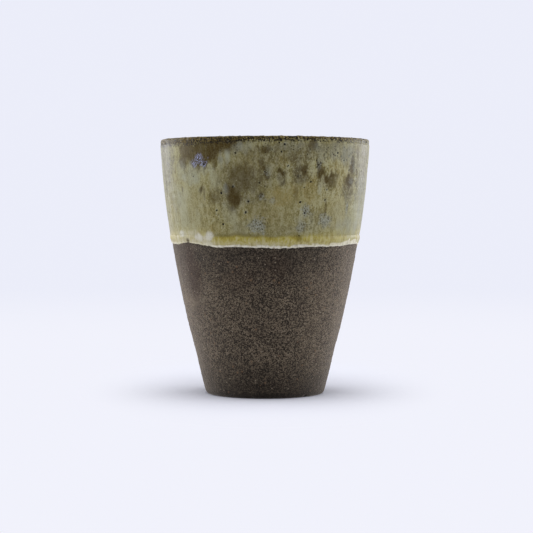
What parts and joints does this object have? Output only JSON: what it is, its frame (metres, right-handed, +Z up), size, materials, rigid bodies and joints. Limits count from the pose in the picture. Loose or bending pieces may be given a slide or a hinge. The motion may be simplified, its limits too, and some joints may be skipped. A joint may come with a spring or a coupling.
{
  "type": "yunomi tea cup",
  "caption": "Tapered handleless stoneware tea cup with a trimmed foot, a bare clay lower wall and a dipped glaze over the upper wall, lip and inside.",
  "frame": {"origin": "centre of the ring that the cup stands on, on the table", "axes": "+Z up along the axis that the cup was thrown about; the cup is round, so +X and +Y are free"},
  "size_m": [0.08, 0.08, 0.097],
  "materials": {
    "stoneware": "unglazed, coarse and matt, with fine pale and black grog",
    "amber_glaze": "glossy, thick, yellow olive",
    "olive_glaze": "satin gloss, grey green with brown and blue breaks, pinholes and runs",
    "cream_glaze": "satin, pale cream, uneven edge",
    "rim_glaze": "satin, iron brown, speckled and pitted",
    "liner_glaze": "glossy, grey green, darker where it pools"
  },
  "bodies": {
    "root": {"stoneware_body": "stoneware", "base_glaze": "amber_glaze", "over_glaze": "olive_glaze", "cream_edge": "cream_glaze", "rim_glaze": "rim_glaze", "inner_glaze": "liner_glaze"}
  },
  "joints": []
}
